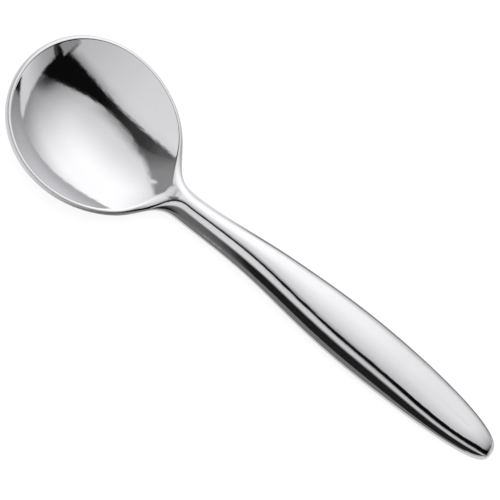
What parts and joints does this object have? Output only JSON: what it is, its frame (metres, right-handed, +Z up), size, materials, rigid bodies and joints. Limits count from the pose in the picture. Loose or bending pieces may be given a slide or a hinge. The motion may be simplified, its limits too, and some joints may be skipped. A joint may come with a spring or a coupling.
{
  "type": "soup spoon",
  "caption": "Polished steel soup spoon with a round, shallow bowl and a smooth, leaf-shaped, crowned handle.",
  "frame": {"origin": "centre of the bounding box on the table that the spoon lies on", "axes": "+X from the bowl's tip to the handle's end, +Y to the left of that, +Z up from the table"},
  "size_m": [0.1648, 0.0512, 0.0133],
  "materials": {
    "polished_steel": "mirror-polished stainless steel with faint wear from use"
  },
  "bodies": {
    "root": {"bowl": "polished_steel", "handle": "polished_steel"}
  },
  "joints": []
}
